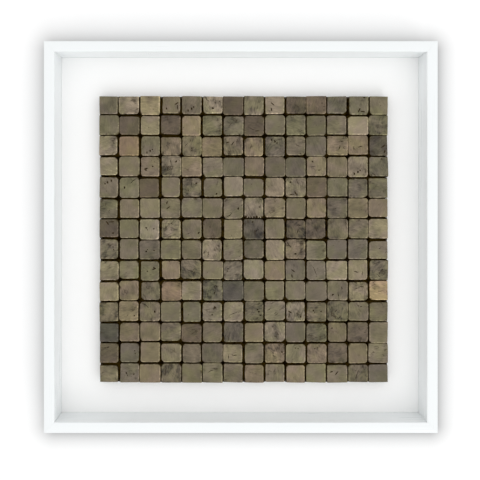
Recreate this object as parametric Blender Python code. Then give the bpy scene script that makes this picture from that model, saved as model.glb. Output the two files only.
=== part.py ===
"""Framed wall panel: a square sheet of small tumbled wood blocks in a white box frame.

Metres, +Z up. The panel hangs on a wall: its front faces -Y and its rear edges lie in the plane Y = 0. The origin is
the middle of the hanging cleat's rear face, which rests against the wall.
"""

import math
import random

import bmesh
import bpy
from mathutils import Vector

# Block sheet
SHEET_WIDTH = 0.3048
SHEET_HEIGHT = 0.3030
SHEET_SHIFT_RIGHT = 0.0036
SHEET_SHIFT_DOWN = 0.0036
CARRIER_THICKNESS = 0.0020
BLOCKS_ACROSS = 14
BLOCKS_DOWN = 14
BLOCK_HEIGHT = 0.0090
EDGE_TRIM = 0.0019  # cut off the outer side of each block on the edge of the sheet

# Form of one block
GROOVE_DEPTH = 0.0050  # from a block's top down to where neighbours touch
GROOVE_HALF_WIDTH = (0.0005, 0.0010)
TRIMMED_SIDE_INSET = 0.0002
CORNER_CUT = (0.0016, 0.0042)
TRIMMED_CORNER_CUT = 0.0006
RIM_WIDTH = 0.0009
RIM_DROP = 0.0008
JOINT_WANDER = 0.0003
TOP_TILT = math.radians(0.8)
HEIGHT_SPREAD = 0.0003
LAYOUT_SEED = 1414

# Box frame
REVEAL_SIDE = 0.0396  # board seen beside the block sheet, if the sheet were centred
REVEAL_END = 0.0395  # the same above and below it
RAIL_FACE = 0.0110
RECESS_DEPTH = 0.0300  # from the frame's front down to the board
EDGE_EASE = 0.0008
EASE_STEPS = 2
BOARD_THICKNESS = 0.0030

# Rear
BATTEN_THICKNESS = 0.0090
BATTEN_WIDTH = 0.0180
CLEAT_HEIGHT = 0.0280
CLEAT_BEVEL = math.radians(45)

# Clearance between pieces that touch
GAP = 0.0003
MITRE_SETBACK = GAP / math.sqrt(2)  # along a rail, for a gap square to the mitre

# Depths, from the wall forward
BOARD_REAR = -(BATTEN_THICKNESS + GAP)
BOARD_FRONT = BOARD_REAR - BOARD_THICKNESS
FRAME_FRONT = BOARD_FRONT - RECESS_DEPTH
CARRIER_REAR = BOARD_FRONT - GAP
CARRIER_FRONT = CARRIER_REAR - CARRIER_THICKNESS
BLOCK_BASE = CARRIER_FRONT - GAP

# Opening of the frame and the middles
INNER_WIDTH = SHEET_WIDTH + 2 * REVEAL_SIDE
INNER_HEIGHT = SHEET_HEIGHT + 2 * REVEAL_END
FRAME_WIDTH = INNER_WIDTH + 2 * RAIL_FACE
FRAME_HEIGHT = INNER_HEIGHT + 2 * RAIL_FACE
INNER_TOP = CLEAT_HEIGHT / 2 + GAP
INNER_BOTTOM = INNER_TOP - INNER_HEIGHT
FRAME_MIDDLE = Vector((0, 0, INNER_TOP - INNER_HEIGHT / 2))
SHEET_MIDDLE = FRAME_MIDDLE + Vector((SHEET_SHIFT_RIGHT, 0, -SHEET_SHIFT_DOWN))

RIGHT = Vector((1, 0, 0))
UP = Vector((0, 0, 1))


def clear_scene():
    """Remove every object, so that the file holds only the panel."""
    for thing in list(bpy.data.objects):
        bpy.data.objects.remove(thing, do_unlink=True)


def finish(name, colour, roughness):
    """Make a Principled material."""
    material = bpy.data.materials.new(name)
    material.use_nodes = True
    shader = material.node_tree.nodes["Principled BSDF"]
    shader.inputs["Base Color"].default_value = (*colour, 1)
    shader.inputs["Roughness"].default_value = roughness
    shader.inputs["Metallic"].default_value = 0
    return material


def add_piece(name, shape, material):
    """Turn a bmesh into a named object with one material."""
    bmesh.ops.recalc_face_normals(shape, faces=shape.faces)
    mesh = bpy.data.meshes.new(name)
    shape.to_mesh(mesh)
    shape.free()
    mesh.materials.append(material)
    piece = bpy.data.objects.new(name, mesh)
    bpy.context.scene.collection.objects.link(piece)
    return piece


def extrude_to(shape, outline, move):
    """Close an outline of points with a face and extrude it, each new vertex placed by move(point)."""
    face = shape.faces.new([shape.verts.new(point) for point in outline])
    grown = bmesh.ops.extrude_face_region(shape, geom=[face])
    for item in grown["geom"]:
        if isinstance(item, bmesh.types.BMVert):
            item.co = move(item.co)


def box(name, low, high, material):
    """Add a square-edged board between two corners."""
    shape = bmesh.new()
    outline = [
        Vector((low[0], low[1], low[2])),
        Vector((high[0], low[1], low[2])),
        Vector((high[0], low[1], high[2])),
        Vector((low[0], low[1], high[2])),
    ]
    extrude_to(shape, outline, lambda point: Vector((point.x, high[1], point.z)))
    return add_piece(name, shape, material)


def rail_section():
    """Section of a rail as (distance in from its outer side, depth coordinate), with the two front edges eased."""
    section = [(RAIL_FACE, 0), (0, 0)]
    for turn, inset in ((math.pi, EDGE_EASE), (1.5 * math.pi, RAIL_FACE - EDGE_EASE)):
        for step in range(EASE_STEPS + 1):
            angle = turn + step / EASE_STEPS * math.pi / 2
            across = inset + EDGE_EASE * math.cos(angle)
            section.append((across, FRAME_FRONT + EDGE_EASE + EDGE_EASE * math.sin(angle)))
    return section


def frame_rail(name, along, outward, length, reach, material):
    """Add one mitred rail.

    along is the rail's direction and outward points away from the middle of the frame. length is the rail's outer
    length, and reach is how far its outer side lies from the middle of the frame.
    """
    shape = bmesh.new()
    outline = []
    for inset, depth in rail_section():
        end = along * (inset + MITRE_SETBACK - length / 2)
        outline.append(FRAME_MIDDLE + end + outward * (reach - inset) + Vector((0, depth, 0)))

    def mirrored(point):
        return point - along * (2 * (point - FRAME_MIDDLE).dot(along))

    extrude_to(shape, outline, mirrored)
    return add_piece(name, shape, material)


def add_frame(material):
    """Add the four mitred rails of the box frame."""
    half_width = FRAME_WIDTH / 2
    half_height = FRAME_HEIGHT / 2
    frame_rail("frame_rail_top", RIGHT, UP, FRAME_WIDTH, half_height, material)
    frame_rail("frame_rail_bottom", RIGHT, -UP, FRAME_WIDTH, half_height, material)
    frame_rail("frame_rail_left", UP, -RIGHT, FRAME_HEIGHT, half_width, material)
    frame_rail("frame_rail_right", UP, RIGHT, FRAME_HEIGHT, half_width, material)


def add_backing_board(material):
    """Add the white board that closes the back of the recess, fitted between the rails."""
    half = INNER_WIDTH / 2 - GAP
    low = (-half, BOARD_FRONT, INNER_BOTTOM + GAP)
    high = (half, BOARD_REAR, INNER_TOP - GAP)
    box("backing_board", low, high, material)


def add_hanging_cleat(material):
    """Add the top batten, whose lower edge is bevelled to hook over a cleat on the wall."""
    half = INNER_WIDTH / 2 - GAP
    top = CLEAT_HEIGHT / 2
    rise = BATTEN_THICKNESS * math.tan(CLEAT_BEVEL)
    section = ((0, -top), (0, top), (-BATTEN_THICKNESS, top), (-BATTEN_THICKNESS, rise - top))
    outline = [Vector((-half, depth, height)) for depth, height in section]
    shape = bmesh.new()
    extrude_to(shape, outline, lambda point: Vector((half, point.y, point.z)))
    add_piece("hanging_cleat", shape, material)


def add_battens(material):
    """Add the bottom and side battens that hold the board against the block sheet's load."""
    half = INNER_WIDTH / 2 - GAP
    floor = INNER_BOTTOM + GAP
    bottom_top = floor + BATTEN_WIDTH
    box("bottom_batten", (-half, -BATTEN_THICKNESS, floor), (half, 0, bottom_top), material)
    side_low = bottom_top + GAP
    side_high = -CLEAT_HEIGHT / 2 - GAP
    inner = half - BATTEN_WIDTH
    box("left_batten", (-half, -BATTEN_THICKNESS, side_low), (-inner, 0, side_high), material)
    box("right_batten", (inner, -BATTEN_THICKNESS, side_low), (half, 0, side_high), material)


def add_carrier_sheet(material):
    """Add the thin dark sheet that the blocks are glued to."""
    low = (SHEET_MIDDLE.x - SHEET_WIDTH / 2, CARRIER_FRONT, SHEET_MIDDLE.z - SHEET_HEIGHT / 2)
    high = (SHEET_MIDDLE.x + SHEET_WIDTH / 2, CARRIER_REAR, SHEET_MIDDLE.z + SHEET_HEIGHT / 2)
    box("carrier_sheet", low, high, material)


def joints(side, count):
    """Lines between neighbouring blocks, from one trimmed edge of the sheet to the other."""
    pitch = (side + 2 * EDGE_TRIM) / count
    inner = [step * pitch - EDGE_TRIM - side / 2 for step in range(1, count)]
    return [-side / 2, *inner, side / 2]


def block_ring(cell, insets, cuts):
    """Eight-sided outline of a block in its cell, as (x, z) points from the lower left corner on.

    cell is (left, right, low, high), insets are the distances in from the left, right, low and high sides, and cuts
    are the corner cuts from the lower left corner round to the upper left one.
    """
    left, right = cell[0] + insets[0], cell[1] - insets[1]
    low, high = cell[2] + insets[2], cell[3] - insets[3]
    return [
        (left, low + cuts[0]),
        (left + cuts[0], low),
        (right - cuts[1], low),
        (right, low + cuts[1]),
        (right, high - cuts[2]),
        (right - cuts[2], high),
        (left + cuts[3], high),
        (left, high - cuts[3]),
    ]


def add_block_row(row, material):
    """Add one row of blocks, which touch each other below the grooves and so are one solid."""
    chance = random.Random(LAYOUT_SEED + row)
    lines = joints(SHEET_HEIGHT, BLOCKS_DOWN)
    low = lines[BLOCKS_DOWN - row - 1] + GAP / 2
    high = lines[BLOCKS_DOWN - row] - GAP / 2
    columns = joints(SHEET_WIDTH, BLOCKS_ACROSS)
    for index in range(1, BLOCKS_ACROSS):
        columns[index] += chance.uniform(-JOINT_WANDER, JOINT_WANDER)
    shape = bmesh.new()

    def vert(x, height, z):
        return shape.verts.new((SHEET_MIDDLE.x + x, BLOCK_BASE - height, SHEET_MIDDLE.z + z))

    touching = BLOCK_HEIGHT - GROOVE_DEPTH
    base = [(vert(x, 0, low), vert(x, 0, high)) for x in columns]
    web = [(vert(x, touching, low), vert(x, touching, high)) for x in columns]
    shape.faces.new((base[0][0], base[0][1], web[0][1], web[0][0]))
    shape.faces.new((base[-1][0], base[-1][1], web[-1][1], web[-1][0]))
    for column in range(BLOCKS_ACROSS):
        after = column + 1
        shape.faces.new((base[column][0], base[after][0], base[after][1], base[column][1]))
        shape.faces.new((base[column][0], base[after][0], web[after][0], web[column][0]))
        shape.faces.new((base[column][1], base[after][1], web[after][1], web[column][1]))

        trimmed = (column == 0, column == BLOCKS_ACROSS - 1, row == BLOCKS_DOWN - 1, row == 0)
        insets = [TRIMMED_SIDE_INSET if cut else chance.uniform(*GROOVE_HALF_WIDTH) for cut in trimmed]
        corner_sides = ((0, 2), (1, 2), (1, 3), (0, 3))
        cuts = [
            TRIMMED_CORNER_CUT if trimmed[a] or trimmed[b] else chance.uniform(*CORNER_CUT)
            for a, b in corner_sides
        ]
        top = BLOCK_HEIGHT - HEIGHT_SPREAD + chance.uniform(-HEIGHT_SPREAD, HEIGHT_SPREAD)
        lean_x = math.tan(chance.uniform(-TOP_TILT, TOP_TILT))
        lean_z = math.tan(chance.uniform(-TOP_TILT, TOP_TILT))
        cell = (columns[column], columns[after], low, high)
        middle_x = (cell[0] + cell[1]) / 2
        middle_z = (cell[2] + cell[3]) / 2

        def lift(x, z):
            return (x - middle_x) * lean_x + (z - middle_z) * lean_z

        shoulder = [
            vert(x, top - RIM_DROP + lift(x, z), z) for x, z in block_ring(cell, insets, cuts)
        ]
        narrowed = [inset + RIM_WIDTH for inset in insets]
        crown = [vert(x, top + lift(x, z), z) for x, z in block_ring(cell, narrowed, cuts)]
        corners = (web[column][0], web[after][0], web[after][1], web[column][1])
        for index in range(4):
            first = 2 * index
            here, following = corners[index], corners[(index + 1) % 4]
            shape.faces.new((here, shoulder[first], shoulder[first + 1]))
            shape.faces.new((here, following, shoulder[(first + 2) % 8], shoulder[first + 1]))
        for index in range(8):
            after_ring = (index + 1) % 8
            shape.faces.new((shoulder[index], shoulder[after_ring], crown[after_ring], crown[index]))
        shape.faces.new(crown)
    add_piece(f"block_row_{row + 1:02d}", shape, material)


def main():
    """Build the panel, from the frame to the blocks."""
    clear_scene()
    white_paint = finish("white_satin_paint", (0.88, 0.89, 0.88), 0.45)
    white_board = finish("white_board", (0.86, 0.86, 0.85), 0.75)
    pine = finish("plain_pine", (0.60, 0.43, 0.25), 0.65)
    dark_sheet = finish("dark_carrier", (0.020, 0.014, 0.008), 0.90)
    block_wood = finish("weathered_wood", (0.175, 0.145, 0.100), 0.80)
    add_frame(white_paint)
    add_backing_board(white_board)
    add_hanging_cleat(pine)
    add_battens(pine)
    add_carrier_sheet(dark_sheet)
    for row in range(BLOCKS_DOWN):
        add_block_row(row, block_wood)


main()
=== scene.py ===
"""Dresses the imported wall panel: a deep white box frame round a sheet of small tumbled wood blocks.

Metres, +Z up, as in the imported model: the panel's front faces -Y and it hangs on a wall at Y = 0. Each piece
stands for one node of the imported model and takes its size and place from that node's box. All materials are
procedural, and everything random is seeded.
"""

import sys
import contextlib
import logging
import math
import random
from collections.abc import Callable, Iterator, Sequence
from dataclasses import dataclass, field
from enum import Enum
from functools import reduce

import bmesh
import bpy
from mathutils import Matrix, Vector


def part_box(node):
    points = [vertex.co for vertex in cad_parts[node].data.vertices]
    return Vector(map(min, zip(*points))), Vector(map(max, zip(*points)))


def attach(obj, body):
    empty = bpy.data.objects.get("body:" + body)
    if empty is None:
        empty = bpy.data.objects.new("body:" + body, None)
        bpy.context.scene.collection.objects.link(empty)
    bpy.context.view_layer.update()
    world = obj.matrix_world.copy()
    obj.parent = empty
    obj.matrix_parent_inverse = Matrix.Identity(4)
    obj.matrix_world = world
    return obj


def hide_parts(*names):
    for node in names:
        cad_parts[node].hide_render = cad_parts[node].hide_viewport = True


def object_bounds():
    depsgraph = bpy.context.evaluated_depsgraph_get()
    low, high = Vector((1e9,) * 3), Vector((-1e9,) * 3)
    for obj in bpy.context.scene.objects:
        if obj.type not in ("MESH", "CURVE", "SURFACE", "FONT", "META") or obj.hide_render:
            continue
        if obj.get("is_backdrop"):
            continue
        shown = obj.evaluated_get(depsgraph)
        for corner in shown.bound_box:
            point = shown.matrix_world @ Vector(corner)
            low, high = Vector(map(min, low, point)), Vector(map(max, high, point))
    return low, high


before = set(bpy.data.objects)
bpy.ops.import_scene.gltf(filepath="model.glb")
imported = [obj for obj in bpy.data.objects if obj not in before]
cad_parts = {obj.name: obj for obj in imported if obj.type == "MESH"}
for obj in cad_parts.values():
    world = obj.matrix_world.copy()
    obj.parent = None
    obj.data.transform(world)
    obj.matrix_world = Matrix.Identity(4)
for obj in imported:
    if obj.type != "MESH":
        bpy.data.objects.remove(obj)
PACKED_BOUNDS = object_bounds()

MM = 0.001
SAME_PLACE = 0.1 * MM
BODY = "root"
LOG = logging.getLogger("wall_panel")

RIGHT, FRONT, UP = Vector((1, 0, 0)), Vector((0, -1, 0)), Vector((0, 0, 1))

Colour = tuple[float, float, float, float]
Span = tuple[float, float]
Socket = bpy.types.NodeSocket
Material = bpy.types.Material
Piece = bpy.types.Object
Edge = bmesh.types.BMEdge


def srgb(*channels: float) -> Colour:
    """Turn a colour as a screen shows it into scene-linear values.

    Args:
        *channels: Red, green and blue, from 0 to 255.

    Returns:
        Linear red, green and blue, and an opaque alpha.
    """
    shares = [channel / 255 for channel in channels]
    linear = [share / 12.92 if share <= 0.04045 else ((share + 0.055) / 1.055) ** 2.4 for share in shares]
    return (*linear, 1.0)


class Axis(Enum):
    """The direction that a board's length and grain run in."""

    ACROSS = "across"
    UPRIGHT = "upright"


class Wear(Enum):
    """The marks that a block carries on its face."""

    SOUND = "a few nicks on the rim"
    CHIPPED = "bites out of the rim"
    PITTED = "small holes and gouges"
    CHECKED = "short drying cracks"
    SPLIT = "one crack right across"
    RAGGED = "one side broken in teeth"


class Tone(Enum):
    """The colours of the weathered blocks."""

    DRIFTWOOD = srgb(119, 110, 89)
    OLIVE_DRIFT = srgb(116, 109, 85)
    WARM_DRIFT = srgb(129, 116, 93)
    PALE_DRIFT = srgb(139, 128, 105)
    UMBER = srgb(100, 89, 71)
    GREY_DRIFT = srgb(109, 101, 84)
    HONEY = srgb(131, 113, 88)
    TAN = srgb(184, 160, 124)
    SLATE = srgb(88, 82, 69)
    FILLING = srgb(40, 29, 8)


class Recipe:
    """The shader nodes of one finish, whose patterns are drawn at the point called at."""

    MIX_FIRST, MIX_SECOND, MIX_RESULT = 6, 7, 2

    def __init__(self, name: str, sky: bool = False) -> None:
        """Start a material, or the light of a sky.

        Args:
            name: Its name.
            sky: Make a sky.
        """
        self.made = (bpy.data.worlds if sky else bpy.data.materials).new(name)
        self.made.use_nodes = True
        self.tree = self.made.node_tree
        self.shader = self.tree.nodes["Background" if sky else "Principled BSDF"]
        self.at = None if sky else self.place

    @property
    def place(self) -> Socket:
        """Give the point on the piece, in metres."""
        return self.add("TexCoord", {}, "Object")

    def add(self, kind: str, feeds: dict, output: str | int = 0, **settings: object) -> Socket:
        """Add a node and feed its inputs.

        Args:
            kind: The node's type, without the words that all types start with.
            feeds: A value or another node's socket for each input, by the input's name or number.
            output: The name or number of the socket to return.
            **settings: The node's own properties.

        Returns:
            The named output socket.
        """
        node = self.tree.nodes.new(f"ShaderNode{kind}")
        for key, value in settings.items():
            setattr(node, key, value)
        for key, value in feeds.items():
            self.feed(node.inputs[key], value)
        return node.outputs[output]

    def feed(self, socket: Socket, value: object) -> None:
        """Link a socket to another node's output, or set its constant value.

        Args:
            socket: The input.
            value: The other node's output, or a number, vector or colour.
        """
        if isinstance(value, Socket):
            self.tree.links.new(value, socket)
        else:
            socket.default_value = value[:3] if socket.type == "VECTOR" else value

    def attribute(self, name: str, output: str) -> Socket:
        """Read one of the mesh's own attributes."""
        return self.add("Attribute", {}, output, attribute_name=name)

    def part(self, vector: Socket, letter: str) -> Socket:
        """Give one component of a vector."""
        return self.add("SeparateXYZ", {0: vector}, letter)

    def calc(self, operation: str, *numbers: object) -> Socket:
        """Do one sum on numbers or sockets."""
        return self.add("Math", dict(enumerate(numbers)), operation=operation)

    def vector(self, operation: str, *vectors: object, output: str | int = 0) -> Socket:
        """Do one sum on vectors. Where its result is a number, that is at the output Value."""
        return self.add("VectorMath", dict(enumerate(vectors)), output, operation=operation)

    def product(self, *factors: object) -> Socket:
        """Multiply numbers or sockets."""
        return reduce(lambda result, factor: self.calc("MULTIPLY", result, factor), factors)

    def total(self, start: float, *shares: tuple[float, Socket]) -> Socket:
        """Add sockets, each times its share, to a number.

        Args:
            start: The number.
            *shares: Pairs of a share and a socket.

        Returns:
            The sum.
        """
        result: object = start
        for share, socket in shares:
            result = self.calc("MULTIPLY_ADD", socket, share, result)
        return result

    def ramp(self, value: Socket, low: float, high: float, start: float = 0.0, end: float = 1.0) -> Socket:
        """Turn the range from low to high into start to end, eased at its ends and held beyond them."""
        feeds = {"Value": value, "From Min": low, "From Max": high, "To Min": start, "To Max": end}
        return self.add("MapRange", feeds, interpolation_type="SMOOTHSTEP")

    def line(self, value: Socket, width: float) -> Socket:
        """Give 1 where a noise passes its middle, fading out at a width: this draws thin wandering lines."""
        off = self.calc("ABSOLUTE", self.calc("SUBTRACT", value, 0.5))
        return self.ramp(off, 0.25 * width, width, 1.0, 0.0)

    def blend(self, amount: object, first: object, second: object, mode: str = "MIX") -> Socket:
        """Mix two colours by the second one's share; the mode says how it acts on the first."""
        feeds = {0: amount, self.MIX_FIRST: first, self.MIX_SECOND: second}
        return self.add("Mix", feeds, self.MIX_RESULT, data_type="RGBA", blend_type=mode)

    def brighten(self, colour: object, factor: object) -> Socket:
        """Multiply a colour by a number."""
        return self.add("VectorMath", {0: colour, "Scale": factor}, operation="SCALE")

    def facing(self, direction: Vector) -> Socket:
        """Give the cosine between the surface's normal and a direction."""
        normal = self.add("TexCoord", {}, "Normal")
        return self.vector("DOT_PRODUCT", normal, direction, output="Value")

    def past_box(self, low: Vector, high: Vector) -> Socket:
        """Give how far the point on the piece is past a box's sides along X, Y and Z: less than 0 inside."""
        away = self.vector("ABSOLUTE", self.vector("SUBTRACT", self.place, (low + high) / 2))
        return self.vector("SUBTRACT", away, (high - low) / 2)

    def turned(self, degrees: float) -> Socket:
        """Give the pattern's point turned about Y."""
        angles = (0, math.radians(degrees), 0)
        return self.add("Mapping", {"Vector": self.at, "Rotation": angles}) if degrees else self.at

    def stretched(self, sizes: Sequence[float], turn: float = 0.0) -> Socket:
        """Give the pattern's point, turned about Y and divided by sizes in mm along X, Y and Z."""
        scale = [1 / (size * MM) for size in sizes]
        return self.add("Mapping", {"Vector": self.turned(turn), "Scale": scale})

    def noise(
        self, size: float | Sequence[float], detail: float = 2.0, twist: float = 0.0, turn: float = 0.0
    ) -> Socket:
        """Give soft noise between 0 and 1, mostly near a half.

        Args:
            size: The size of its lumps in mm, or their sizes along X, Y and Z.
            detail: How many finer layers it has.
            twist: How far it is distorted.
            turn: How far it is turned about Y, in degrees.

        Returns:
            The noise.
        """
        if isinstance(size, Sequence):
            feeds = {"Vector": self.stretched(size, turn), "Scale": 1.0}
        else:
            feeds = {"Vector": self.at, "Scale": 1 / (size * MM)}
        return self.add("TexNoise", {**feeds, "Detail": detail, "Distortion": twist})

    def bump(self, height: Socket, depth: float) -> Socket:
        """Raise the surface by a height from 0 to 1, times a depth in metres."""
        return self.add("Bump", {"Height": height, "Distance": depth, "Strength": 1.0})

    def finish(self, **surface: object) -> Material:
        """Feed the shader.

        Args:
            **surface: A value or socket for each of its inputs, with underscores for spaces.

        Returns:
            The finished material, or sky.
        """
        for key, value in surface.items():
            self.feed(self.shader.inputs[key.replace("_", " ")], value)
        return self.made


@dataclass(frozen=True)
class SatinPaint:
    """White satin paint, brushed along a smooth wooden rail."""

    along: Axis
    colour: Colour = (0.830, 0.856, 0.862, 1.0)
    worn_colour: Colour = (0.80, 0.805, 0.79, 1.0)
    most_worn: float = 0.6
    sheen: float = 0.20
    brush_share: float = 0.03
    peel_share: float = 0.02

    def make(self) -> Material:
        """Build the material.

        Returns:
            The material.
        """
        recipe = Recipe(f"white_satin_paint_{self.along.value}")
        brushed = recipe.noise((90, 0.9, 0.9) if self.along is Axis.ACROSS else (0.9, 0.9, 90), 3)
        drift = recipe.noise(70, 3)
        turned = recipe.calc("ABSOLUTE", recipe.facing(FRONT))
        rubbed = recipe.product(
            recipe.ramp(turned, 0.25, 0.7),
            recipe.ramp(turned, 0.75, 0.98, 1.0, 0.0),
            recipe.ramp(recipe.noise(9, 3), 0.48, 0.72),
            self.most_worn,
        )
        colour = recipe.brighten(self.colour, recipe.total(0.975, (0.030, drift), (0.020, brushed)))
        relief = recipe.total(0.0, (self.brush_share, brushed), (self.peel_share, recipe.noise(1.1)))
        return recipe.finish(
            Base_Color=recipe.blend(rubbed, colour, self.worn_colour),
            Roughness=recipe.total(self.sheen, (0.10, brushed), (0.10, drift)),
            Normal=recipe.bump(relief, MM),
            Specular_IOR_Level=0.6,
        )


@dataclass(frozen=True)
class BoardFace:
    """The matt white face of the backing board."""

    colour: Colour = (0.955, 0.955, 0.95, 1.0)
    speck: Colour = srgb(206, 203, 194)
    tooth_depth: float = 0.015 * MM

    def make(self) -> Material:
        """Build the material.

        Returns:
            The material.
        """
        recipe = Recipe("matt_white_board")
        drift, tooth = recipe.noise(90), recipe.noise(0.7, 3)
        fibre = recipe.noise((6, 6, 0.5), 2, twist=1.0, turn=24)
        shade = recipe.total(0.98, (0.018, drift), (0.012, fibre), (0.010, tooth))
        specks = recipe.ramp(recipe.noise(2.6, 1), 0.80, 0.86, 0.0, 0.25)
        return recipe.finish(
            Base_Color=recipe.blend(specks, recipe.brighten(self.colour, shade), self.speck),
            Roughness=recipe.total(0.58, (0.15, tooth), (0.1, drift)),
            Normal=recipe.bump(recipe.total(0.0, (0.6, tooth), (0.4, fibre)), self.tooth_depth),
            Specular_IOR_Level=0.3,
        )


@dataclass(frozen=True)
class Hardboard:
    """The brown rear of the backing board, with the weave of the press screen in it."""

    dark: Colour = srgb(104, 70, 42)
    light: Colour = srgb(152, 112, 72)
    fleck: Colour = srgb(70, 44, 26)
    screen_pitch: float = 1.5 * MM
    screen_depth: float = 0.10 * MM

    def make(self) -> Material:
        """Build the material.

        Returns:
            The material.
        """
        recipe = Recipe("brown_hardboard")
        clouds = recipe.noise(55, 4)
        pulp = recipe.noise((2.2, 1, 1.1), 4, twist=0.8, turn=31)
        turn = 2 * math.pi / self.screen_pitch
        phases = [recipe.product(recipe.part(recipe.place, letter), turn) for letter in "XZ"]
        screen = recipe.product(*[recipe.calc("SINE", phase) for phase in phases])
        mixed = recipe.total(0.0, (0.35, clouds), (0.65, pulp), (0.06, screen))
        colour = recipe.blend(recipe.ramp(mixed, 0.30, 0.72), self.dark, self.light)
        flecks = recipe.ramp(recipe.noise(1.3, 1), 0.66, 0.78, 0.0, 0.55)
        return recipe.finish(
            Base_Color=recipe.blend(flecks, colour, self.fleck),
            Roughness=recipe.total(0.62, (0.2, pulp)),
            Normal=recipe.bump(recipe.total(0.0, (0.5, screen), (0.35, pulp)), self.screen_depth),
            Specular_IOR_Level=0.3,
        )


@dataclass(frozen=True)
class PlainPine:
    """Planed, unfinished pine, with its growth rings along the batten."""

    along: Axis
    early: Colour = srgb(222, 190, 142)
    late: Colour = srgb(186, 136, 84)
    duct: Colour = srgb(132, 88, 50)
    ring_width: float = 2.4 * MM
    ring_sway: float = 30 * MM
    grain_depth: float = 0.06 * MM

    def make(self) -> Material:
        """Build the material.

        Returns:
            The material.
        """
        recipe = Recipe(f"planed_pine_{self.along.value}")
        recipe.at = recipe.turned(90 if self.along is Axis.ACROSS else 0)
        sway = recipe.noise((60, 60, 240))
        shares = ((1.0, recipe.part(recipe.at, "X")), (0.6, recipe.part(recipe.at, "Y")))
        across = recipe.total(0.0, *shares, (self.ring_sway, sway))
        rings = recipe.calc("SINE", recipe.product(across, 2 * math.pi / self.ring_width))
        rings = recipe.ramp(rings, -0.2, 1.0)
        fibre, tone = recipe.noise((0.35, 0.35, 14), 3), recipe.noise((14, 14, 120))
        ducts = recipe.ramp(recipe.noise((0.5, 0.5, 5), 1), 0.68, 0.76)
        mixed = recipe.total(0.0, (0.62, rings), (0.35, fibre), (0.35, tone))
        colour = recipe.blend(recipe.ramp(mixed, 0.2, 1.05), self.early, self.late)
        relief = recipe.total(0.0, (0.5, rings), (0.5, fibre), (-0.4, ducts))
        return recipe.finish(
            Base_Color=recipe.blend(recipe.product(ducts, 0.4), colour, self.duct),
            Roughness=recipe.total(0.56, (0.18, fibre), (-0.08, rings)),
            Normal=recipe.bump(relief, self.grain_depth),
            Specular_IOR_Level=0.35,
        )


@dataclass(frozen=True)
class DarkCarrier:
    """The near-black brown sheet, with dried glue, that the blocks sit on."""

    colour: Colour = srgb(30, 24, 14)
    glue: Colour = srgb(52, 43, 28)
    depth: float = 0.15 * MM

    def make(self) -> Material:
        """Build the material.

        Returns:
            The material.
        """
        recipe = Recipe("dark_carrier")
        fibre, smears = recipe.noise((0.5, 1, 5), 3, twist=0.6), recipe.noise(6, 4)
        colour = recipe.blend(recipe.ramp(smears, 0.50, 0.70), self.colour, self.glue)
        return recipe.finish(
            Base_Color=recipe.brighten(colour, recipe.ramp(fibre, 0.3, 0.7, 0.7, 1.3)),
            Roughness=recipe.ramp(smears, 0.5, 0.7, 0.92, 0.6),
            Normal=recipe.bump(recipe.total(0.0, (0.6, fibre), (0.6, smears)), self.depth),
            Specular_IOR_Level=0.25,
        )


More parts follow.
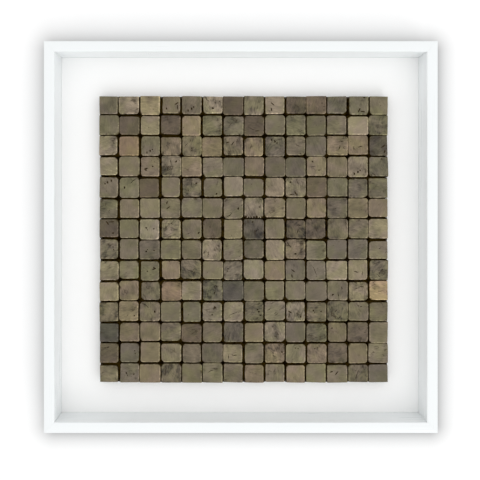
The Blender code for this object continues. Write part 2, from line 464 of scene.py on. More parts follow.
@dataclass(frozen=True)
class WeatheredBlockWood:
    """Tumbled wood: cloudy grey-brown faces, dark pits and checks, rims worn pale and brightened by a painted
    highlight, and dirt with painted shade darkening down the sides into the gaps.

    Each block carries its colour in the attribute block_tint and the nearness of its outline in block_rim.
    Its block_mark holds the angle of its grain, the shift of its pattern and its age from 0 to 1. The sheet's
    front is at top, low and high are its corners, first is a place where four blocks meet, and pitch is how
    far apart such places are.
    """

    top: float
    low: Vector
    high: Vector
    first: Vector
    pitch: Vector
    # Dirt and painted shade: the colour that the sides of the blocks darken to, down into the gaps.
    dirt_and_shade: Colour = srgb(58, 44, 10)
    # Painted shade: the near-black colour deepest in the gaps.
    deepest_shade: Colour = srgb(20, 12, 0)
    pit: Colour = srgb(52, 40, 20)
    olive: Colour = (0.985, 1.0, 0.88, 1.0)
    mauve: Colour = (1.03, 0.98, 1.04, 1.0)
    level: float = 0.79
    # The direction whose rim slopes get the strongest painted highlight, towards the lower right where the
    # light comes from.
    lit_side: tuple[float, float, float] = (0.45, -0.15, -0.88)
    figure_bands: float = 58.0
    grain_depth: float = 0.16 * MM
    dirt_and_shade_span: Span = (0.2 * MM, 3.4 * MM)
    deepest_shade_span: Span = (3.0 * MM, 4.4 * MM)
    meeting_span: Span = (1.4 * MM, 3.4 * MM)
    side_band: float = 1.4 * MM
    side_dirt_and_shade: float = 0.25
    shift: tuple[float, float, float] = (1.0, 0.6, 0.8)

    def pattern_place(self, recipe: Recipe, mark: Socket) -> Socket:
        """Give the point on the block's own stretch of pattern, shifted and turned by its mark."""
        moved = recipe.vector("MULTIPLY_ADD", recipe.part(mark, "Y"), self.shift, recipe.place)
        return recipe.add(
            "VectorRotate", {"Vector": moved, "Angle": recipe.part(mark, "X")}, rotation_type="Y_AXIS"
        )

    def outer_sides(self, recipe: Recipe) -> Socket:
        """Tell the sheet's own four sides, which get less of the dirt and painted shade, from the sides
        between its blocks.

        Args:
            recipe: The finish under way.

        Returns:
            1 on the sheet's own sides and 0 elsewhere.
        """
        band = Vector((self.side_band, 0, self.side_band))
        away = recipe.past_box(self.low + band, self.high - band)
        sides = []
        for letter, direction in (("X", RIGHT), ("Z", UP)):
            near = recipe.ramp(recipe.part(away, letter), 0.0, self.side_band / 3)
            turned = recipe.calc("ABSOLUTE", recipe.facing(direction))
            sides.append(recipe.product(near, recipe.ramp(turned, 0.6, 0.85)))
        return recipe.calc("MAXIMUM", *sides)

    def meetings(self, recipe: Recipe) -> Socket:
        """Find the places where four blocks meet.

        Args:
            recipe: The finish under way.

        Returns:
            1 there and 0 elsewhere.
        """
        away = recipe.vector("SUBTRACT", recipe.place, self.first)
        pitches = (("X", self.pitch.x), ("Z", self.pitch.z))
        near = [recipe.calc("PINGPONG", recipe.part(away, letter), pitch / 2) for letter, pitch in pitches]
        return recipe.ramp(recipe.calc("MAXIMUM", *near), *self.meeting_span, 1.0, 0.0)

    def holes(self, recipe: Recipe) -> Socket:
        """Draw small dark pits in a few cells of a loose scatter.

        Args:
            recipe: The finish under way.

        Returns:
            The pits' strength.
        """
        feeds = {"Vector": recipe.stretched((3.4, 3.4, 4.6)), "Scale": 1.0}
        near = recipe.add("TexVoronoi", feeds, "Distance")
        lot = recipe.part(recipe.add("TexVoronoi", feeds, "Color"), "X")
        edge = recipe.total(0.0, (1.0, near), (0.16, recipe.noise(0.6)))
        return recipe.product(recipe.ramp(edge, 0.15, 0.24, 1.0, 0.0), recipe.ramp(lot, 0.80, 0.84))

    def make(self) -> Material:
        """Build the material.

        Returns:
            The material.
        """
        recipe = Recipe("weathered_block_wood")
        noise, ramp, product, total = recipe.noise, recipe.ramp, recipe.product, recipe.total
        outline = recipe.attribute("block_rim", "Fac")
        mark = recipe.attribute("block_mark", "Vector")
        age = recipe.part(mark, "Z")
        recipe.at = self.pattern_place(recipe, mark)

        clouds, hues = noise(11, 2, twist=0.3), noise((13, 9, 17), 1, turn=40)
        streaks, fibre = noise((1.1, 2, 12), 3, twist=0.4), noise((0.30, 0.6, 5), 3)
        mottle, patches = noise((1.5, 2.4, 4.2), 3, twist=0.6), noise((9, 9, 9), 1, turn=65)

        checks = recipe.line(noise((5, 9, 13), 3, turn=18), 0.026)
        checks = product(checks, ramp(patches, 0.53, 0.62), ramp(age, 0.25, 0.7))
        scratches = recipe.line(noise((7, 9, 10), turn=75), 0.012)
        scratches = product(scratches, ramp(patches, 0.5, 0.4))
        figure = recipe.calc("SINE", product(noise((12, 12, 20), 1, turn=50), self.figure_bands))
        figure = product(ramp(figure, -0.1, 1.0), ramp(age, 0.55, 0.95))
        chips = product(ramp(noise(1.3, 1), 0.66, 0.74), ramp(outline, 0.0, 0.4, 0.12, 0.8))
        flecks = product(ramp(noise((0.8, 1, 1.7), 1), 0.68, 0.78), ramp(age, 0.2, 0.8))
        # Rims worn pale, with a painted highlight: brightest on rim slopes turned towards the lower right.
        rim = product(
            ramp(outline, 0.32, 0.70),
            ramp(recipe.facing(FRONT), 0.10, 0.42),
            ramp(noise(2.6), 0.36, 0.62, 0.1, 1.15),
            ramp(recipe.facing(Vector(self.lit_side)), 0.0, 0.45, 0.35, 1.0),
        )
        # Dirt and painted shade: the colour darkens with depth below the faces, down into the gaps, and less
        # on the sheet's own sides.
        depth = recipe.calc("SUBTRACT", recipe.part(recipe.place, "Y"), self.top)
        dirt_and_shade_share = ramp(self.outer_sides(recipe), 0.0, 1.0, 1.0, self.side_dirt_and_shade)
        dirt_and_shade = product(ramp(depth, *self.dirt_and_shade_span), dirt_and_shade_share)

        stain = product(ramp(patches, 0.50, 0.68), ramp(age, 0.4, 1.0, 0.05, 0.38))
        swing = total(-0.92, (0.80, clouds), (0.34, streaks), (0.20, fibre), (0.50, mottle))
        swing = product(swing, ramp(age, 0.0, 1.0, 0.7, 2.3))
        shade = total(1.02, (1.0, swing), (-1.0, stain), (-0.26, figure), (0.30, chips), (0.28, flecks))
        colour = recipe.brighten(recipe.attribute("block_tint", "Color"), product(shade, self.level))
        cast = recipe.blend(ramp(hues, 0.38, 0.62), self.olive, self.mauve)
        colour = recipe.blend(1.0, colour, cast, "MULTIPLY")
        dark = recipe.calc("MAXIMUM", product(checks, 0.85), product(self.holes(recipe), 0.8))
        colour = recipe.blend(dark, colour, self.pit)
        colour = recipe.brighten(colour, total(1.0, (0.22, scratches)))
        colour = recipe.brighten(colour, total(1.0, (1.0, rim)))
        # Painted shade: deep in the gaps, in patches and where four blocks meet, the colour goes darker still.
        spread = noise(6, 1)
        meetings = product(self.meetings(recipe), ramp(spread, 0.40, 0.54, 0.3, 1.0))
        deepest_shaded = recipe.calc("MAXIMUM", ramp(spread, 0.46, 0.66), meetings)
        deepest_shaded = product(deepest_shaded, ramp(depth, *self.deepest_shade_span))
        colour = recipe.blend(dirt_and_shade, colour, recipe.blend(deepest_shaded, self.dirt_and_shade, self.deepest_shade))

        relief = total(0.0, (0.9, clouds), (0.5, streaks), (0.3, fibre), (0.6, mottle), (-1.2, dark))
        return recipe.finish(
            Base_Color=colour,
            Roughness=total(0.56, (0.14, mottle), (0.12, fibre), (-0.10, rim), (0.12, dirt_and_shade)),
            Normal=recipe.bump(relief, self.grain_depth),
            Specular_IOR_Level=ramp(dirt_and_shade, 0.0, 0.6, 0.3, 0.0),
        )


@dataclass(frozen=True)
class CutWood:
    """The dark inside of the pits and cracks."""

    colour: Colour = srgb(56, 43, 20)
    crumb: Colour = srgb(84, 68, 42)
    depth: float = 0.12 * MM

    def make(self) -> Material:
        """Build the material.

        Returns:
            The material.
        """
        recipe = Recipe("dark_cut_wood")
        crumbs = recipe.noise(0.5, 3)
        colour = recipe.blend(recipe.ramp(crumbs, 0.45, 0.7), self.colour, self.crumb)
        return recipe.finish(
            Base_Color=recipe.brighten(colour, recipe.ramp(recipe.noise(2.2), 0.3, 0.7, 0.7, 1.3)),
            Roughness=recipe.ramp(crumbs, 0.3, 0.7, 0.8, 0.95),
            Normal=recipe.bump(crumbs, self.depth),
            Specular_IOR_Level=0.1,
        )


def deselect_all() -> None:
    """Leave nothing selected."""
    bpy.ops.object.select_all(action="DESELECT")


def select_only(*things: Piece) -> None:
    """Select these objects alone and make the first one active.

    Args:
        *things: The objects.
    """
    deselect_all()
    for thing in things:
        thing.select_set(True)
    bpy.context.view_layer.objects.active = things[0]


@contextlib.contextmanager
def edit_mode(piece: Piece, element: str, action: str = "DESELECT") -> Iterator[None]:
    """Open a piece in edit mode.

    Args:
        piece: The object to edit.
        element: The kind of element that is picked: VERT, EDGE or FACE.
        action: SELECT or DESELECT all of them first.

    Yields:
        Nothing, while the piece is open.
    """
    select_only(piece)
    bpy.ops.object.mode_set(mode="EDIT")
    bpy.ops.mesh.select_mode(type=element)
    bpy.ops.mesh.select_all(action=action)
    try:
        yield
    finally:
        bpy.ops.object.mode_set(mode="OBJECT")


def pick(piece: Piece, kind: str, test: Callable[[object], bool]) -> None:
    """Select what passes a test in the open piece, and nothing else.

    Args:
        piece: The object in edit mode.
        kind: What is tested: verts, edges or faces.
        test: Takes one of them and says whether to select it.
    """
    bpy.ops.mesh.select_all(action="DESELECT")
    for element in getattr(bmesh.from_edit_mesh(piece.data), kind):
        if test(element):
            element.select_set(True)
    bmesh.update_edit_mesh(piece.data)


def ends_at(edge: Edge, **wanted: float) -> bool:
    """Tell whether both ends of an edge have the wanted x, y or z."""
    off = [abs(getattr(end.co, axis) - value) for end in edge.verts for axis, value in wanted.items()]
    return max(off) < SAME_PLACE


def apply_modifier(piece: Piece, kind: str, **settings: object) -> None:
    """Add a modifier to a piece and apply it.

    Args:
        piece: The object.
        kind: The modifier's type.
        **settings: The modifier's own properties.
    """
    select_only(piece)
    modifier = piece.modifiers.new(kind.lower(), kind)
    for key, value in settings.items():
        setattr(modifier, key, value)
    bpy.ops.object.modifier_apply(modifier=modifier.name)


def settle() -> None:
    """Move the place, turn and scale of the selected objects into their meshes."""
    bpy.ops.object.transform_apply(location=True, rotation=True, scale=True)


def add_board(name: str, low: Vector, high: Vector) -> Piece:
    """Add a square-edged board.

    Args:
        name: The piece's name.
        low: Its lowest corner.
        high: Its highest corner.

    Returns:
        The new object.
    """
    deselect_all()
    bpy.ops.mesh.primitive_cube_add(size=1, location=(low + high) / 2, scale=high - low)
    board = bpy.context.active_object
    settle()
    board.name = board.data.name = name
    return board


def cut_open(point: Vector, outward: Vector) -> None:
    """Cut the open piece flat, take its outer side off and select the rim of the cut.

    Args:
        point: A point on the cut.
        outward: The direction of what is taken off.
    """
    bpy.ops.mesh.bisect(plane_co=point, plane_no=outward, clear_outer=True)
    bpy.ops.mesh.select_all(action="DESELECT")
    bpy.ops.mesh.select_non_manifold()


def cut_off(piece: Piece, point: Vector, outward: Vector) -> None:
    """Cut a piece flat and close the cut.

    Args:
        piece: The object.
        point: A point on the cut.
        outward: The direction of what is taken off.
    """
    with edit_mode(piece, "EDGE", "SELECT"):
        cut_open(point, outward)
        if any(edge.select for edge in bmesh.from_edit_mesh(piece.data).edges):
            bpy.ops.mesh.fill()


def face_outwards() -> None:
    """Turn all faces of the open piece outwards."""
    bpy.ops.mesh.select_all(action="SELECT")
    bpy.ops.mesh.normals_make_consistent(inside=False)


def is_flap(face: bmesh.types.BMFace) -> bool:
    """Tell whether a face is loose, or hangs by some edges on a closed surface."""
    neighbours = [len(edge.link_faces) for edge in face.edges]
    return min(neighbours) < 2 and max(neighbours) != 2


def is_closed(piece: Piece) -> bool:
    """Tell whether a piece has a mesh whose every edge joins two faces.

    Args:
        piece: The object.

    Returns:
        True if it has.
    """
    shape = bmesh.new()
    shape.from_mesh(piece.data)
    closed = bool(shape.verts) and all(edge.is_manifold for edge in shape.edges)
    shape.free()
    return closed


def shade_by_angle(piece: Piece, degrees: float) -> None:
    """Shade a piece smooth, apart from edges sharper than an angle."""
    select_only(piece)
    bpy.ops.object.shade_smooth_by_angle(angle=math.radians(degrees))


def hand_over(piece: Piece, node: str) -> None:
    """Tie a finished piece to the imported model.

    Args:
        piece: The finished object.
        node: The node that it stands for.
    """
    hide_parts(node)
    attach(piece, BODY)
    LOG.info("%s stands for %s, %d faces", piece.name, node, len(piece.data.polygons))


@dataclass
class SawnPieces:
    """What the sub-assemblies of sawn boards share: eased edges, and shading that keeps flat faces flat."""

    ease: float = 0.6 * MM
    ease_steps: int = 3
    soft_angle: float = 40

    def complete(
        self,
        piece: Piece,
        node: str,
        slot: str,
        *finishes: Material,
        eased: Callable[[Edge], bool] = lambda edge: True,
    ) -> None:
        """Ease, shade, dress and hand over a piece.

        Args:
            piece: The piece, with its edges still square.
            node: The node that it stands for.
            slot: Not used.
            *finishes: Its material, and perhaps another one for all but its front.
            eased: Says whether an edge is eased.
        """
        with edit_mode(piece, "EDGE"):
            pick(piece, "edges", eased)
            bpy.ops.mesh.bevel(offset=self.ease, segments=self.ease_steps, affect="EDGES")
        shade_by_angle(piece, self.soft_angle)
        for finish in finishes:
            piece.data.materials.append(finish)
        for face in piece.data.polygons:
            face.material_index = 0 if face.normal.dot(FRONT) > 0.5 else len(finishes) - 1
        hand_over(piece, node)


@dataclass
class BoxFrame(SawnPieces):
    """The four mitred, painted rails."""

    ease: float = 0.8 * MM
    ease_steps: int = 4
    joint: float = 0.06 * MM

    def __post_init__(self) -> None:
        """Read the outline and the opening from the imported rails."""
        left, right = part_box("frame_rail_left"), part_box("frame_rail_right")
        bottom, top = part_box("frame_rail_bottom"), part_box("frame_rail_top")
        self.outer_low = Vector((left[0].x, left[0].y, bottom[0].z))
        self.outer_high = Vector((right[1].x, left[1].y, top[1].z))
        self.inner_low = Vector((left[1].x, left[0].y, bottom[1].z))
        self.inner_high = Vector((right[0].x, left[1].y, top[0].z))

    def mitre(self, rail: Piece, along: Vector, outward: Vector) -> None:
        """Cut both ends of a rail at 45 degrees, to the opening's corners.

        Args:
            rail: The square-ended rail.
            along: Its direction.
            outward: The direction away from the opening.
        """
        opening, half = (self.inner_low + self.inner_high) / 2, (self.inner_high - self.inner_low) / 2
        for end in (-1, 1):
            away, reach = (end * along - outward).normalized(), end * along + outward
            corner = opening + Vector((half.x * reach.x, 0, half.z * reach.z))
            cut_off(rail, corner - away * self.joint / 2, away)

    def build(self) -> None:
        """Model, paint and hand over the four rails."""
        across, upright = SatinPaint(Axis.ACROSS).make(), SatinPaint(Axis.UPRIGHT).make()
        low, high = self.outer_low, self.outer_high
        sides = (
            ("top", RIGHT, UP, Vector((low.x, low.y, self.inner_high.z)), high, across),
            ("bottom", RIGHT, -UP, low, Vector((high.x, high.y, self.inner_low.z)), across),
            ("left", UP, -RIGHT, low, Vector((self.inner_low.x, high.y, high.z)), upright),
            ("right", UP, RIGHT, Vector((self.inner_high.x, low.y, low.z)), high, upright),
        )
        for side, along, outward, rail_low, rail_high, paint in sides:
            rail = add_board(f"painted_rail_{side}", rail_low, rail_high)
            self.mitre(rail, along, outward)

            def runs_along(edge: Edge) -> bool:
                """Tell whether an edge runs along the rail."""
                first, second = (vertex.co for vertex in edge.verts)
                return abs((second - first).normalized().dot(along)) > 0.99

            self.complete(rail, f"frame_rail_{side}", "white_paint", paint, eased=runs_along)


@dataclass
class BackingBoard(SawnPieces):
    """The thin board behind the recess: white in front, brown behind."""

    ease: float = 0.25 * MM
    ease_steps: int = 2
    closer: float = 0.25 * MM

    def build(self) -> None:
        """Model, dress and hand over the board, with its rear edges eased."""
        low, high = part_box("backing_board")
        grow = Vector((self.closer, 0, self.closer))
        board = add_board("white_backing_board", low - grow, high + grow)

        def is_rear(edge: Edge) -> bool:
            """Tell whether an edge reaches the rear."""
            return max(vertex.co.y for vertex in edge.verts) > high.y - SAME_PLACE

        finishes = BoardFace().make(), Hardboard().make()
        self.complete(board, "backing_board", "white_board", *finishes, eased=is_rear)


@dataclass
class Subframe(SawnPieces):
    """The battens behind the board: the bevelled hanging cleat and three plain ones."""

    def bevel_cleat(self, cleat: Piece) -> None:
        """Slope the cleat's underside up to the front at 45 degrees, to hook over a cleat on the wall.

        Args:
            cleat: The square cleat.
        """
        low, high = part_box("hanging_cleat")
        with edit_mode(cleat, "EDGE"):
            pick(cleat, "edges", lambda edge: ends_at(edge, y=low.y, z=low.z))
            bpy.ops.transform.translate(value=(0, 0, high.y - low.y))

    def build(self) -> None:
        """Model, dress and hand over the four battens."""
        across, upright = PlainPine(Axis.ACROSS).make(), PlainPine(Axis.UPRIGHT).make()
        battens = (
            ("hanging_cleat", "pine_hanging_cleat", across),
            ("bottom_batten", "pine_batten_bottom", across),
            ("left_batten", "pine_batten_left", upright),
            ("right_batten", "pine_batten_right", upright),
        )
        for node, name, pine in battens:
            batten = add_board(name, *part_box(node))
            if node == "hanging_cleat":
                self.bevel_cleat(batten)
            self.complete(batten, node, "plain_pine", pine)


@dataclass
class CarrierSheet(SawnPieces):
    """The thin dark sheet that holds the blocks together."""

    ease: float = 0.4 * MM
    ease_steps: int = 2

    def build(self) -> None:
        """Model, dress and hand over the sheet."""
        sheet = add_board("dark_carrier_sheet", *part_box("carrier_sheet"))
        self.complete(sheet, "carrier_sheet", "dark_carrier", DarkCarrier().make())


@dataclass
class BlockCarver:
    """Models tumbled blocks, one by one, with the face at Y = 0 before it is domed and the back behind it.

    Sizes that are drawn for each mark are in mm where their names say so, and otherwise shares or angles.
    """

    wood: Material
    cut_wood: Material
    side: float = 20.8 * MM
    height: float = 2.8 * MM
    worked_height: float = 2.2 * MM
    spare_height: float = 1.2 * MM
    corner_cut: Span = (1.0 * MM, 3.6 * MM)
    corner_steps: int = 3
    rim: Span = (0.6 * MM, 1.2 * MM)
    rim_steps: int = 3
    voxel: float = 0.5 * MM
    lump_size: float = 6 * MM
    lump_height: float = 0.7 * MM
    crown: float = 0.40 * MM
    crown_reach: float = 11.5 * MM
    kept_share: float = 0.14
    knocks: Sequence[int] = (1, 1, 2, 2)
    knock_mm: Span = (1.0, 2.1)
    knock_lean: Span = (0.6, 1.2)
    knock_rise: Span = (0.4, 1.1)
    nicks: Sequence[int] = (2, 3, 3, 4)
    small_bite: Span = (0.3 * MM, 0.8 * MM)
    large_bite: Span = (0.8 * MM, 1.7 * MM)
    large_bites: int = 3
    nick_radius_mm: Span = (1.2, 3.2)
    nick_place: Span = (-0.38, 0.38)
    nick_rise: Span = (0.1, 0.5)
    nick_length: Span = (0.7, 1.3)
    crack_width_mm: Span = (0.32, 0.58)
    crack_depth_mm: Span = (1.0, 1.7)
    crack_length_mm: Span = (5, 10)
    crack_steps: int = 7
    crack_end: float = 0.25
    crack_least: float = 0.2
    crack_swell: Span = (0.7, 1.2)
    crack_stray: Span = (-0.55, 0.55)
    crack_across: Span = (-0.6, 0.6)
    crack_along: Span = (-0.6, 0.2)
    crack_turn: Span = (-0.2, 0.2)
    grain_turn: Span = (-0.9, 0.9)
    split_place: Span = (-0.85, -0.75)
    split_degrees: float = 48
    split_length: float = 1.15
    pits: Sequence[int] = (2, 3, 3, 4)
    pit_place: Span = (-0.36, 0.36)
    pit_drop: float = 0.3
    pit_lengths_mm: Sequence[float] = (0.7, 1.0, 1.5, 2.3)
    pit_stretch: Span = (0.8, 1.2)
    pit_width_mm: Span = (0.45, 1.05)
    pit_depth_mm: Span = (0.8, 1.2)
    bend_share: float = 0.5
    bend_turn: Span = (0.5, 1.3)
    bend_length_mm: Span = (0.6, 1.6)
    teeth: int = 7
    teeth_share: float = 0.86
    tooth_mm: Span = (0.9, 2.2)
    tooth_reach_mm: Span = (-0.2, 1.2)
    tooth_drop: float = 0.2 * MM
    tooth_depth: float = 2.2 * MM
    rim_reach: float = 2.2 * MM
    rim_corner: float = 1.4 * MM
    spacing: float = 60 * MM
    soft_angle: float = 38
    number: int = field(init=False)
    chance: random.Random = field(init=False)
    block: Piece = field(init=False)

    def draw(self, span: Span) -> float:
        """Draw an amount between two limits."""
        return self.chance.uniform(*span)

    def shape_blank(self) -> None:
        """Model a square block with its corners cut and its rim rounded, each by its own amount."""
        half = self.side / 2
        low, high = Vector((-half, 0, -half)), Vector((half, self.worked_height + self.spare_height, half))
        self.block = add_board(f"block_pattern_{self.number:02d}", low, high)
        self.block.data.materials.append(self.wood)
        with edit_mode(self.block, "EDGE"):
            for across, along in ((-half, -half), (half, -half), (half, half), (-half, half)):
                pick(self.block, "edges", lambda edge: ends_at(edge, x=across, z=along))
                cut = self.draw(self.corner_cut)
                bpy.ops.mesh.bevel(offset=cut, segments=self.corner_steps, affect="EDGES")
            pick(self.block, "edges", lambda edge: ends_at(edge, y=0))
            cut = self.draw(self.rim)
            bpy.ops.mesh.bevel(offset=cut, segments=self.rim_steps, affect="EDGES")

    def knock(self) -> None:
        """Cut one or two slanted flats off the front corners."""
        corners = [(-1, -1), (1, -1), (1, 1), (-1, 1)]
        for across, along in self.chance.sample(corners, self.chance.choice(self.knocks)):
            reach = self.side / 2 - self.draw(self.knock_mm) * MM
            lean, rise, turn = map(self.draw, (self.knock_lean, self.knock_rise, self.knock_lean))
            slant = Vector((across * lean, -rise, along * turn)).normalized()
            cut_off(self.block, Vector((across * reach, 0, along * reach)), slant)

    def tumble(self) -> None:
        """Wear the block smooth and uneven, by its own stretch of lumps, and dome its face."""
        block = self.block
        apply_modifier(block, "REMESH", mode="VOXEL", voxel_size=self.voxel)
        block.location = (self.number * self.spacing, 0, 0)
        lumps = bpy.data.textures.new(f"lumps_{self.number:02d}", "CLOUDS")
        lumps.noise_scale = self.lump_size
        lumps.noise_depth = 1
        bumpy = {"strength": self.lump_height, "mid_level": 0.5, "texture_coords": "GLOBAL"}
        apply_modifier(block, "DISPLACE", texture=lumps, **bumpy)
        block.location = (0, 0, 0)
        apply_modifier(block, "SMOOTH", factor=0.5, iterations=2)
        nearest = min(vertex.co.length for vertex in block.data.vertices)
        with edit_mode(block, "VERT"):
            pick(block, "verts", lambda vertex: vertex.co.length <= nearest)
            bpy.ops.transform.translate(
                value=FRONT * self.crown,
                use_proportional_edit=True,
                proportional_edit_falloff="SPHERE",
                proportional_size=self.crown_reach,
            )

    def plain_sides(self) -> None:
        """Swap the rough rear for plain sides and a flat back, which the neighbours hide."""
        deeper = FRONT * (self.worked_height - self.height)
        with edit_mode(self.block, "EDGE", "SELECT"):
            cut_open(Vector((0, self.worked_height, 0)), -FRONT)
            bpy.ops.mesh.extrude_edges_move(TRANSFORM_OT_translate={"value": deeper})
            bpy.ops.mesh.edge_face_add()
        with edit_mode(self.block, "FACE"):
            face_outwards()

    def cut_with(self, cutter: Piece, dark: bool) -> None:
        """Take a cutter's shape out of the block. A cut that would spoil the block is left out.

        Args:
            cutter: The closed shape to take out, which is used up.
            dark: Leave the dark wood of a deep cut, or else the same worn wood as the face.
        """
        block = self.block
        cutter.data.materials.append(self.cut_wood if dark else self.wood)
        before = block.data.copy()
        how = {"operation": "DIFFERENCE", "solver": "EXACT", "material_mode": "TRANSFER"}
        apply_modifier(block, "BOOLEAN", object=cutter, **how)
        bpy.data.objects.remove(cutter, do_unlink=True)
        if not is_closed(block) or len(block.data.vertices) < len(before.vertices) / 2:
            LOG.info("%s: one cut left out", block.name)
            before, block.data = block.data, before
        bpy.data.meshes.remove(before)

    def gouge(self, middle: Vector, sizes: Sequence[float], turn: float = 0.0, uneven: float = 0.0) -> None:
        """Take a hollow out of the block.

        Args:
            middle: The middle of the hollow.
            sizes: Its half sizes along X, Y and Z before it is turned.
            turn: How far it is turned about Y.
            uneven: How far its outline strays. If it does, the hollow is dark, or else worn like the face.
        """
        deselect_all()
        place = {"location": middle, "rotation": (0, turn, 0), "scale": sizes}
        bpy.ops.mesh.primitive_ico_sphere_add(subdivisions=2, radius=1, **place)
        cutter = bpy.context.active_object
        if uneven:
            with edit_mode(cutter, "VERT", "SELECT"):
                bpy.ops.transform.vertex_random(offset=uneven, seed=round(abs(middle.x) / MM * 100))
        self.cut_with(cutter, uneven > 0)

    def crack(self, start: Vector, heading: float, length: float) -> None:
        """Cut a crack: a thin diamond drawn along a wandering line, wide in the middle and fine at its ends.

        Args:
            start: Where it starts on the face.
            heading: Its direction, as an angle from Z towards X.
            length: Its length.
        """
        width, depth = self.draw(self.crack_width_mm) * MM, self.draw(self.crack_depth_mm) * MM
        deselect_all()
        place = {"location": start, "rotation": (0, heading, 0)}
        bpy.ops.mesh.primitive_circle_add(vertices=4, radius=1, fill_type="NGON", **place)
        cutter = bpy.context.active_object
        cutter.scale = (width, depth, 1)
        settle()
        with edit_mode(cutter, "FACE", "SELECT"):
            spot, grown = start.copy(), self.crack_end
            bpy.ops.transform.resize(value=(grown, grown, grown), center_override=start)
            for step in range(1, self.crack_steps + 1):
                course = heading + self.draw(self.crack_stray)
                move = Vector((math.sin(course), 0, math.cos(course))) * length / self.crack_steps
                bpy.ops.mesh.extrude_region_move(TRANSFORM_OT_translate={"value": move})
                spot += move
                swell = math.sin(math.pi * step / self.crack_steps) * self.draw(self.crack_swell)
                wanted = max(self.crack_least, swell)
                bpy.ops.transform.resize(value=(wanted / grown,) * 3, center_override=spot)
                grown = wanted
            face_outwards()
        self.cut_with(cutter, True)

    def nick_rim(self, bite: Span) -> None:
        """Take one shallow scoop out of the rim.

        Args:
            bite: The least and most that it reaches in from the side.
        """
        quarter = self.chance.randrange(4) * math.pi / 2
        radius = self.draw(self.nick_radius_mm) * MM
        along = self.draw(self.nick_place) * self.side
        out = self.side / 2 + radius - self.draw(bite)
        across = out * math.cos(quarter) - along * math.sin(quarter)
        level = out * math.sin(quarter) + along * math.cos(quarter)
        middle = Vector((across, -self.draw(self.nick_rise) * radius, level))
        self.gouge(middle, (radius, radius, radius * self.draw(self.nick_length)))

    def pit(self) -> None:
        """Take one small ragged hole out of the face, as often as not with a bend in it."""
        reach = [share * self.side for share in self.pit_place]
        middle = Vector((self.draw(reach), -self.pit_drop * self.crown, self.draw(reach)))
        length = self.chance.choice(self.pit_lengths_mm) * self.draw(self.pit_stretch) * MM
        wide, deep = self.draw(self.pit_width_mm) * MM, self.draw(self.pit_depth_mm) * MM
        turn = self.draw((0, math.pi))
        self.gouge(middle, (wide, deep, length), turn, 0.6 * wide)
        if self.chance.random() < self.bend_share:
            end = middle + Vector((math.sin(turn), 0, math.cos(turn))) * length * 0.8
            bend = turn + self.chance.choice((-1, 1)) * self.draw(self.bend_turn)
            sizes = (0.7 * wide, 0.9 * deep, self.draw(self.bend_length_mm) * MM)
            self.gouge(end, sizes, bend, 0.4 * wide)

    def mark(self, wear: Wear) -> None:
        """Cut the marks of one kind of wear into the block.

        Args:
            wear: The kind of wear.
        """
        draw, half = self.draw, self.side / 2
        for _ in range(self.chance.choice(self.nicks)):
            self.nick_rim(self.small_bite)
        if wear is Wear.CHIPPED:
            for _ in range(self.large_bites):
                self.nick_rim(self.large_bite)
        if wear is Wear.PITTED:
            for _ in range(self.chance.choice(self.pits)):
                self.pit()
        if wear is Wear.CHECKED:
            grain = draw(self.grain_turn)
            for _ in range(self.chance.choice((1, 2))):
                start = Vector((draw(self.crack_across) * half, 0, draw(self.crack_along) * half))
                self.crack(start, grain + draw(self.crack_turn), draw(self.crack_length_mm) * MM)
            self.pit()
        if wear is Wear.SPLIT:
            across, along = self.split_place
            start = Vector((across * half, 0, along * half))
            self.crack(start, math.radians(self.split_degrees), self.split_length * self.side)
        if wear is Wear.RAGGED:
            for tooth in range(self.teeth):
                across = (tooth / (self.teeth - 1) - 0.5) * self.teeth_share * self.side
                size = draw(self.tooth_mm) * MM
                middle = Vector((across, self.tooth_drop, -half + draw(self.tooth_reach_mm) * MM))
                self.gouge(middle, (0.75 * size, self.tooth_depth, size), 0, 0.2 * size)

    def note_rim(self) -> None:
        """Write into the mesh how near each point is to the block's outline: 1 on it, 0 well inside."""
        half = self.side / 2
        nearness = []
        for vertex in self.block.data.vertices:
            across, along = abs(vertex.co.x), abs(vertex.co.z)
            corner = (2 * half - self.rim_corner - across - along) / math.sqrt(2)
            inside = min(half - across, half - along, corner)
            nearness.append(min(1.0, max(0.0, 1 - inside / self.rim_reach)))
        rim = self.block.data.attributes.new("block_rim", "FLOAT", "POINT")
        rim.data.foreach_set("value", nearness)

    def carve(self, number: int, wear: Wear) -> Piece:
        """Model one block from blank to finish.

        Args:
            number: Its number, which seeds its random amounts.
            wear: Its kind of wear.

        Returns:
            The finished pattern, at the origin.
        """
        self.number = number
        self.chance = random.Random(f"block {number}")
        self.shape_blank()
        self.knock()
        self.tumble()
        self.plain_sides()
        apply_modifier(self.block, "DECIMATE", ratio=self.kept_share, use_collapse_triangulate=True)
        self.mark(wear)
        self.note_rim()
        shade_by_angle(self.block, self.soft_angle)
        return self.block


@dataclass(frozen=True)
class Cell:
    """The room of one block on the sheet, and the cuts that trim it along the sheet's edge."""

    left: float
    right: float
    low: float
    high: float
    trims: Sequence[tuple[Vector, Vector]]


